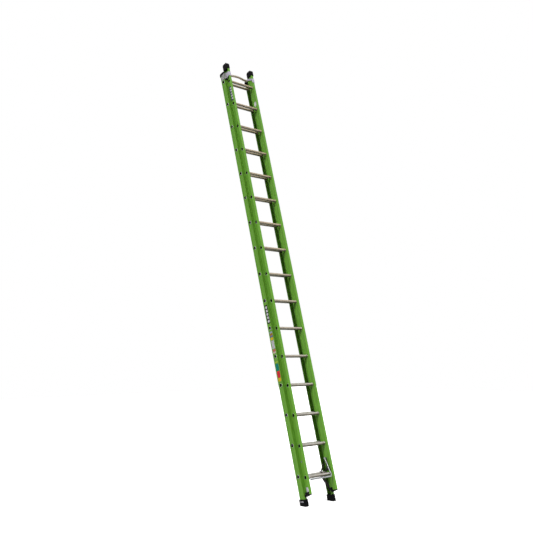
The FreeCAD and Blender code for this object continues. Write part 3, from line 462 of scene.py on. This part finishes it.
def rung_painted_light_and_shade(tree):
    """Painted light and shade: bright on top and a painted shade underneath. Lower rungs are painted less warm,
    standing for their reflections, and their painted shade reaches further up.
    """
    place = add_node(tree, "ShaderNodeTexCoord").outputs["Object"]
    height = add_node(tree, "ShaderNodeSeparateXYZ", {"Vector": place}).outputs["Z"]
    top = mixed(tree, remap(tree, height, *RUNG_PAINTED_LIGHT_HEIGHTS), shade_of("rung_low_painted_reflection"), shade_of("rung"))
    under = add_node(tree, "ShaderNodeAttribute", attribute_name="underside").outputs["Fac"]
    # Painted shade: on the lower rungs it reaches further up their sides.
    reach = calculate(tree, "ADD", under, remap(tree, height, *RUNG_PAINTED_LIGHT_HEIGHTS, to_low=0.4, to_high=0.0))
    return mixed(tree, remap(tree, reach, low=0.15, high=0.8), top, shade_of("rung_painted_shade"))


def moulded(name):
    """One of the moulded or cast skins: pits, dull patches and rubbed edges."""
    tone, roughness, pit_size, pit_depth, metallic = MOULDED[name]
    material, tree, shader = new_material(name, roughness, metallic, MOULDED_GLOSS)
    skin = use_group(tree, group_of("Pitted skin", make_pitted_group), size=pit_size)
    wear = use_group(tree, group_of("Edge wear", make_wear_group), radius=0.0016, amount=0.35)
    tone = np.asarray(getattr(colours(), tone))
    body = mixed(tree, skin.outputs["Patch"], linear(tone), linear(tone * SKIN_PATCHES))
    rubbed = linear(np.clip(tone + SKIN_RUBBED, 0, 1))
    tree.links.new(mixed(tree, wear.outputs["Wear"], body, rubbed), shader.inputs["Base Color"])
    smooth, rough = (roughness + change for change in SKIN_UNEVEN)
    uneven = remap(tree, skin.outputs["Patch"], low=0.0, high=1.0, to_low=smooth, to_high=rough)
    tree.links.new(uneven, shader.inputs["Roughness"])
    raise_surface(tree, shader, skin.outputs["Pit"], pit_depth, strength=0.6)
    return material


def bore_painted_shade():
    """Painted shade for the unlit inside of a tube and its funnels: dull and near black, with uneven patches."""
    material, tree, shader = new_material("bore_painted_shade", roughness=0.9, gloss=0.0)
    skin = use_group(tree, group_of("Pitted skin", make_pitted_group), size=300.0)
    tone = np.asarray(colours().bore)
    body = mixed(tree, skin.outputs["Patch"], linear(tone), linear(tone * BORE_SHADE_PATCHES))
    tree.links.new(body, shader.inputs["Base Color"])
    raise_surface(tree, shader, skin.outputs["Pit"], depth=0.0001, strength=0.4)
    return material


def plastic_film(name, tone):
    """A printed film: an even colour, faintly mottled, under a clear gloss."""
    material, tree, shader = new_material(name, roughness=0.45, gloss=FILM_GLOSS)
    skin = use_group(tree, group_of("Pitted skin", make_pitted_group), size=1400.0)
    tone = np.asarray(tone)
    body = mixed(tree, skin.outputs["Patch"], linear(tone), linear(tone * FILM_PATCHES))
    tree.links.new(body, shader.inputs["Base Color"])
    raise_surface(tree, shader, skin.outputs["Pit"], depth=0.00005, strength=0.3)
    return material


def finish(material, *names):
    """Give CAD nodes a material in their own slots."""
    for name in names:
        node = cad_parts[name]
        if not node.material_slots:
            node.data.materials.append(material)
        for slot in node.material_slots:
            slot.material = material


# ---------------------------------------------------------------- mesh tools

def mesh_from_grids(name, grids, wrap_rows=False, wrap_columns=True, caps=False):
    """One mesh over one or more grids of points, given as copies by rows by columns.

    Each cell is a four-sided face. A wrapped direction joins its last line to its first, and caps close the
    first and last row with one face each. A grid is turned where its faces would point inwards: there the
    triple products of its cells' corners, taken from its middle, add up to less than nothing.
    """
    copies, rows, columns = grids.shape[:3]
    index = np.arange(rows * columns).reshape(rows, columns)
    rings = np.stack([index[0], index[-1, ::-1]])
    if wrap_rows:
        index = np.vstack([index, index[:1]])
    if wrap_columns:
        index = np.hstack([index, index[:, :1]])
    cells = np.stack([index[:-1, :-1], index[1:, :-1], index[1:, 1:], index[:-1, 1:]], axis=-1).reshape(-1, 4)
    points = grids.reshape(copies, -1, 3)
    a, b, c, d = (points - points.mean(axis=1, keepdims=True))[:, cells.T].transpose(1, 0, 2, 3)
    inward = np.einsum("nij,nij->n", a, np.cross(b, c) + np.cross(c, d)) < 0
    faces = []
    for corners in (cells, rings) if caps else (cells,):
        placed = corners + (np.arange(copies) * rows * columns)[:, None, None]
        placed[inward] = placed[inward][:, :, ::-1]
        faces += placed.reshape(-1, corners.shape[1]).tolist()
    mesh = bpy.data.meshes.new(name)
    mesh.from_pydata(points.reshape(-1, 3).tolist(), [], faces)
    mesh.update()
    return mesh


def add_piece(name, mesh, materials, body, smooth_angle=0.6):
    """Link a mesh as a piece that rides on a body, smooth where its faces meet at less than an angle."""
    for material in materials:
        mesh.materials.append(material)
    piece = bpy.data.objects.new(name, mesh)
    bpy.context.scene.collection.objects.link(piece)
    mesh.shade_smooth()
    mesh.set_sharp_from_angle(angle=smooth_angle)
    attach(piece, body)
    return piece


# ---------------------------------------------------------------- rungs

def rung_section(half, sizes):
    """Stations along a rung from mouth to mouth, and the funnels that lead into its bore.

    Gives the distance along the rung, the radius, the share of a groove's depth and 1 where the funnel
    starts or runs. The collar is a quarter ellipse from the web's face to the mouth's edge, the funnel
    a quarter ellipse from that edge down to the bore, and the bead a half wave inside the web.
    """
    turn = np.linspace(0, np.pi / 2, QUARTER)
    collar_x = half + sizes.collar * np.sin(turn)
    collar_r = sizes.mouth + (sizes.flare - sizes.mouth) * np.cos(turn)
    funnel_x = half + sizes.collar - sizes.funnel * np.sin(turn[1:])
    funnel_r = sizes.bore + (sizes.mouth - sizes.bore) * np.cos(turn[1:])
    wave = np.linspace(0, np.pi, sizes.bead_rings)
    bead_x = half - sizes.web - sizes.bead_length * (1 - wave / np.pi)
    bead_r = sizes.radius + (sizes.bead - sizes.radius) * np.sin(wave)
    rib_end = half - sizes.web - sizes.bead_length - sizes.plain_end
    x = np.concatenate([[rib_end, rib_end + sizes.rib_fade], bead_x, [half], collar_x, funnel_x])
    r = np.concatenate([[sizes.radius] * 2, bead_r, [sizes.radius], collar_r, funnel_r])
    grooved = np.zeros(len(x))
    grooved[0] = 1
    # Painted shade: the funnels and the bore take the near-black material.
    dark = np.zeros(len(x), int)
    dark[-len(funnel_x) - 1:] = 1
    return tuple(np.concatenate([side[::-1] * sign, side])
                 for side, sign in ((x, -1), (r, 1), (grooved, 1), (dark, 1)))


def rung_mesh(name, half, y, z, sizes):
    """A tube along X whose radius is the section's, less a clipped sine wave round the tube for the grooves.

    The faces of the funnels and of the bore take the second material, a painted shade, and the collars the third.
    The attribute "underside" goes from -1 on top of the tube to 1 below it, as the sine of the angle does.
    """
    x, r, grooved, dark = rung_section(half, sizes)
    count = sizes.ribs * RIB_POINTS
    around = (np.arange(count) + 0.5) * (2 * np.pi / count)
    wave = np.clip(0.5 - RIB_STEEPNESS * np.sin(sizes.ribs * around), 0, 1)
    radius = r[:, None] - sizes.groove * grooved[:, None] * wave
    points = np.empty((1, *radius.shape, 3))
    points[..., 0] = x[:, None]
    points[..., 1] = y + radius * np.cos(around)
    points[..., 2] = z + radius * np.sin(around)
    mesh = mesh_from_grids(name, points, wrap_rows=True)
    collar = (np.abs(x) >= half) & (r >= sizes.mouth)
    finishes = dark * np.roll(dark, -1) + 2 * (collar & np.roll(collar, -1))
    mesh.polygons.foreach_set("material_index", np.repeat(finishes, count).astype(np.int32))
    # These values place the painted shade on the rungs' undersides.
    under = np.broadcast_to(-np.sin(around), radius.shape)
    mesh.attributes.new("underside", "FLOAT", "POINT").data.foreach_set("value", under.ravel().astype(np.float32))
    return mesh


class LADDER_OT_rungs(Operator):
    """Ribbed rungs of both sections, in place of the plain ones"""
    bl_idname = "ladder.rungs"
    bl_label = "Rungs"

    def execute(self, context):
        sizes = context.scene.ladder_rungs
        finishes = (drawn_metal("rung_aluminium", rung_painted_light_and_shade), bore_painted_shade(), rivet_metal())
        for section in SECTIONS:
            for node in rung_nodes(section):
                low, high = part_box(node)
                centre = (low + high) / 2
                mesh = rung_mesh(f"ribbed_{node}", high.x - sizes.collar, centre.y, centre.z, sizes)
                piece = add_piece(f"ribbed_{node}", mesh, finishes, section)
                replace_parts(piece, node)
        return {"FINISHED"}


# ---------------------------------------------------------------- rivets

def rivet_mesh(name, centres, signs, radius, height, sizes):
    """Blind rivets on faces square to X.

    The profile is a low upright rim, a quarter ellipse over it for the crown and a hollow in the middle. It is
    turned round X at each centre, and its sign says which way the head stands.
    """
    turn = np.linspace(0, np.pi / 2, QUARTER)
    crown_r = sizes.dimple + (radius - sizes.dimple) * np.cos(turn)
    crown_x = sizes.rim + (height - sizes.rim) * np.sin(turn)
    profile_r = np.concatenate([[radius], crown_r, [sizes.dimple * HOLLOW_FLOOR]])
    profile_x = np.concatenate([[0], crown_x, [height - sizes.dimple_depth]])
    around = np.arange(sizes.rivet_points) * (2 * np.pi / sizes.rivet_points)
    seat_x, seat_y, seat_z = centres.T[..., None, None]
    points = np.empty((len(centres), len(profile_r), len(around), 3))
    points[..., 0] = seat_x + signs[:, None, None] * profile_x[:, None]
    points[..., 1] = seat_y + profile_r[:, None] * np.cos(around)
    points[..., 2] = seat_z + profile_r[:, None] * np.sin(around)
    return mesh_from_grids(name, points, caps=True)


def heads_of(name):
    """Seats, sides, radius and height of the round heads in a CAD node that all face along X.

    The mesh's points are sorted into heads by how near they lie to each other.
    """
    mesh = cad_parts[name].data
    points = np.empty(len(mesh.vertices) * 3, np.float32)
    mesh.vertices.foreach_get("co", points)
    points = points.reshape(-1, 3).astype(float)
    heads = []
    while len(points):
        near = np.linalg.norm(points - points[0], axis=1) < HEAD_REACH
        head = points[near]
        points = points[~near]
        heads.append((head.min(axis=0), head.max(axis=0)))
    low = np.array([head[0] for head in heads])
    high = np.array([head[1] for head in heads])
    sides = np.sign(low[:, 0] + high[:, 0])
    seats = (low + high) / 2
    seats[:, 0] = np.where(sides > 0, low[:, 0], high[:, 0])
    return seats, sides, float((high - low)[:, 2].max() / 2), float((high - low)[:, 0].max())


class LADDER_OT_rivets(Operator):
    """Domed blind rivets of both sections, in place of the plain heads, and smaller ones in the braces"""
    bl_idname = "ladder.rivets"
    bl_label = "Rivets"

    def execute(self, context):
        sizes = context.scene.ladder_small
        metal = rivet_metal()
        for section in SECTIONS:
            node = f"{section}_rivets"
            seats, sides, radius, height = heads_of(node)
            mesh = rivet_mesh(f"domed_{node}", seats, sides, radius, height, sizes)
            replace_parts(add_piece(f"domed_{node}", mesh, (metal,), section), node)
        seats = []
        for side, sign in SIDES:
            low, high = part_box(f"rung_brace_{side}")
            reach = max(abs(low.x), abs(high.x)) - BRACE_PLATE
            seats += [(sign * reach, (low.y + high.y) / 2, low.z + BRACE_SEAT),
                      (sign * reach, (low.y + high.y) / 2, high.z - BRACE_SEAT)]
        seats = np.array(seats)
        inward = -np.sign(seats[:, 0])
        mesh = rivet_mesh("brace_rivets", seats, inward, sizes.brace_rivet, sizes.brace_rivet / 2, sizes)
        add_piece("brace_rivets", mesh, (metal,), "base")
        return {"FINISHED"}


# ---------------------------------------------------------------- plain bands

def slab_mesh(name, face, out, y, low, high, width, thick, corner):
    """Thin slabs with round corners on a face square to X, one for each low and high edge.

    A slab's outline is a rectangle whose corners are quarter circles, carried out from the face, drawn in
    a little at the front edge and closed.
    """
    turn = (np.linspace(0, np.pi / 2, QUARTER) + np.arange(4)[:, None] * np.pi / 2).ravel()
    height = (high - low)[:, None]
    corner = np.minimum(min(corner, width / 2), height / 2)
    centre_y = np.repeat([1, -1, -1, 1], QUARTER) * (width / 2 - corner)
    centre_z = np.repeat([1, 1, -1, -1], QUARTER) * (height / 2 - corner)
    rims = np.hstack([corner, corner, np.maximum(corner - thick / 2, corner / 2)])[..., None]
    points = np.empty((len(low), 3, len(turn), 3))
    points[..., 0] = face + out * np.array([0, thick * BAND_SHOULDER, thick])[:, None]
    points[..., 1] = y + centre_y[:, None] + rims * np.cos(turn)
    points[..., 2] = ((low + high) / 2)[:, None, None] + centre_z[:, None] + rims * np.sin(turn)
    return mesh_from_grids(name, points, caps=True)


class LADDER_OT_bands(Operator):
    """Plain colour bands on the stiles' webs, without marks of any kind"""
    bl_idname = "ladder.bands"
    bl_label = "Plain bands"

    def execute(self, context):
        sizes = context.scene.ladder_small
        films = {name: plastic_film(f"film_{name}", tone) for name, tone in FILMS.items()}
        rungs = context.scene.ladder_rungs
        for name, section, side, outer, rung, width, lift, film, spans in BANDS:
            low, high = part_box(f"{section}_rung_{rung:02d}")
            pitch = high.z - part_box(f"{section}_rung_{rung - 1:02d}")[1].z
            centre = (low + high) / 2
            sign = dict(SIDES)[side]
            out = sign if outer else -sign
            web = high.x - rungs.collar - (0 if outer else rungs.web)
            face = sign * web + out * lift * sizes.film
            corner = width if film == "oval" else sizes.film_corner
            high_edge, low_edge = centre.z - np.array(spans).T * pitch
            mesh = slab_mesh(name, face, out, centre.y, low_edge, high_edge, width, sizes.film, corner)
            add_piece(name, mesh, (films[film],), section, smooth_angle=0.5)
        return {"FINISHED"}


# ---------------------------------------------------------------- CAD finishes

def both_sides(*parts):
    """Names of parts that come as a left and a right one."""
    return [f"{part}_{side}" for part in parts for side, _ in SIDES]


class LADDER_OT_stiles(Operator):
    """Fibreglass on the four stiles"""
    bl_idname = "ladder.stiles"
    bl_label = "Stiles"

    def execute(self, context):
        finish(fibreglass(), *both_sides("base_stile", "fly_stile"))
        return {"FINISHED"}


class LADDER_OT_rubber(Operator):
    """Rubber on the feet and caps, and nylon on the sliders and plugs"""
    bl_idname = "ladder.rubber"
    bl_label = "Rubber and nylon"

    def execute(self, context):
        finish(moulded("black_rubber"), *both_sides("foot", "base_cap", "fly_cap"))
        finish(moulded("black_nylon"), *both_sides("guide_slider", "fly_plug"))
        return {"FINISHED"}


class LADDER_OT_brackets(Operator):
    """Bright aluminium on the straps and shoes, duller ones on the guides and pole rest, and dark braces"""
    bl_idname = "ladder.brackets"
    bl_label = "Brackets"

    def execute(self, context):
        finish(drawn_metal("bright_aluminium"), "pole_rest_straps", *both_sides("fly_shoe"))
        finish(drawn_metal("bracket_aluminium"), *both_sides("guide_bracket"))
        finish(drawn_metal("rest_aluminium"), "pole_rest")
        finish(moulded("dark_brace"), *both_sides("rung_brace"))
        return {"FINISHED"}


class LADDER_OT_rung_lock(Operator):
    """Zinc on the bail and the pins, and a cast skin on the hooks"""
    bl_idname = "ladder.rung_lock"
    bl_label = "Rung lock"

    def execute(self, context):
        finish(drawn_metal("zinc_steel"), "rung_bail", "lock_pins")
        finish(moulded("cast_pawl"), *both_sides("lock_hook"))
        return {"FINISHED"}


# ---------------------------------------------------------------- stage

def add_sun(name, strength, toward, spread):
    """A lamp as far off as the sun, that shines along a direction, with soft shadows."""
    lamp = bpy.data.lights.new(name, "SUN")
    lamp.energy = strength
    lamp.angle = spread
    item = bpy.data.objects.new(name, lamp)
    item.rotation_mode = "QUATERNION"
    item.rotation_quaternion = Vector(toward).to_track_quat("-Z", "Y")
    bpy.context.scene.collection.objects.link(item)


def seen_directly(tree):
    """One where the camera or a mirror or glass sees this, and nothing where it only lights things."""
    path = tree.nodes.new("ShaderNodeLightPath").outputs
    seen = calculate(tree, "MAXIMUM", path["Is Camera Ray"], path["Is Glossy Ray"])
    return calculate(tree, "MAXIMUM", seen, path["Is Transmission Ray"])


def floor_material(tone, shown):
    """A pale floor that shows white and keeps a faint shadow, with a very fine even grain."""
    material, tree, shader = new_material("pale_floor", roughness=0.9, gloss=0.0)
    tone = np.asarray(tone)
    seen = seen_directly(tree)
    grain = stretched_noise(tree, scale=(40, 40, 40), detail=3.0)
    speck = remap(tree, grain, low=0.0, high=1.0, to_low=0.0, to_high=0.3)
    pale = mixed(tree, speck, linear(tone), linear(tone * FLOOR_PATCHES))
    tree.links.new(mixed(tree, seen, linear(tone * FLOOR_BOUNCE), pale), shader.inputs["Base Color"])
    glow = calculate(tree, "MULTIPLY", seen, shown)
    shader.inputs["Emission Color"].default_value = (1, 1, 1, 1)
    tree.links.new(glow, shader.inputs["Emission Strength"])
    return material


class LADDER_OT_stage(Operator):
    """Floor under the leaning ladder, lamps, white surroundings and the camera"""
    bl_idname = "ladder.stage"
    bl_label = "Stage"

    def execute(self, context):
        scene = context.scene
        sizes = scene.ladder_stage
        self.add_floor(sizes)
        self.light_world(scene, sizes)
        add_sun("key_lamp", sizes.key, *KEY_LAMP)
        add_sun("fill_lamp", sizes.fill, *FILL_LAMP)
        camera = bpy.data.cameras.new("camera")
        camera.lens = sizes.lens
        camera.sensor_width = sizes.sensor
        camera.clip_end = sizes.sight
        item = bpy.data.objects.new("camera", camera)
        item.location = sizes.camera_place
        item.rotation_euler = Euler(sizes.camera_turn)
        scene.collection.objects.link(item)
        scene.camera = item
        scene.view_settings.view_transform = "Standard"
        return {"FINISHED"}

    def add_floor(self, sizes):
        """A flat square through the soles, turned so that the ladder leans over it."""
        edges = np.array([-0.5, 0.5]) * sizes.floor_size
        across, along = np.meshgrid(edges, edges, indexing="ij")
        slope = np.tan(sizes.lean)
        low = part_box("foot_left")[0]
        points = np.stack([across, along, (along - low.y) * slope + low.z], axis=-1)
        mesh = mesh_from_grids("floor", points[None], wrap_columns=False)
        mesh.materials.append(floor_material(colours().floor, sizes.floor_glow))
        floor = bpy.data.objects.new("floor", mesh)
        bpy.context.scene.collection.objects.link(floor)

    def light_world(self, scene, sizes):
        """White where it is seen, and the plain ambient level where it only lights."""
        world = bpy.data.worlds.new("surroundings")
        world.use_nodes = True
        tree = world.node_tree
        background = tree.nodes["Background"]
        background.inputs["Color"].default_value = (1, 1, 1, 1)
        strength = remap(tree, seen_directly(tree), low=0.0, high=1.0, to_low=sizes.ambient, to_high=1.0)
        tree.links.new(strength, background.inputs["Strength"])
        scene.world = world


# ---------------------------------------------------------------- panel and run

OPERATORS = (
    LADDER_OT_stiles,
    LADDER_OT_bands,
    LADDER_OT_rungs,
    LADDER_OT_rubber,
    LADDER_OT_brackets,
    LADDER_OT_rung_lock,
    LADDER_OT_rivets,
    LADDER_OT_stage,
)


class LADDER_PT_sidebar(Panel):
    """Sizes, colours and steps of the ladder"""
    bl_idname = "LADDER_PT_sidebar"
    bl_label = "Ladder"
    bl_space_type = "VIEW_3D"
    bl_region_type = "UI"
    bl_category = "Ladder"

    def draw(self, context):
        layout = self.layout
        for operator in OPERATORS:
            layout.operator(operator.bl_idname)
        for settings, group in PROPERTY_GROUPS.items():
            box = layout.box()
            for name in group.__annotations__:
                box.prop(getattr(context.scene, settings), name)


PROPERTY_GROUPS = {
    "ladder_colours": LadderColours,
    "ladder_rungs": RungSizes,
    "ladder_small": SmallPartSizes,
    "ladder_stage": StageSizes,
}


def register():
    """Register the settings, the steps and the panel."""
    for group in PROPERTY_GROUPS.values():
        bpy.utils.register_class(group)
    for name, group in PROPERTY_GROUPS.items():
        setattr(bpy.types.Scene, name, PointerProperty(type=group))
    for operator in OPERATORS:
        bpy.utils.register_class(operator)
    bpy.utils.register_class(LADDER_PT_sidebar)


def unregister():
    """Take back what register made, in the opposite order."""
    bpy.utils.unregister_class(LADDER_PT_sidebar)
    for operator in reversed(OPERATORS):
        bpy.utils.unregister_class(operator)
    for name in PROPERTY_GROUPS:
        delattr(bpy.types.Scene, name)
    for group in PROPERTY_GROUPS.values():
        bpy.utils.unregister_class(group)


def main():
    """Make everything in order."""
    register()
    bpy.ops.ladder.stiles()
    bpy.ops.ladder.bands()
    bpy.ops.ladder.rungs()
    bpy.ops.ladder.rubber()
    bpy.ops.ladder.brackets()
    bpy.ops.ladder.rung_lock()
    bpy.ops.ladder.rivets()
    bpy.ops.ladder.stage()


if __name__ == "__main__":
    main()
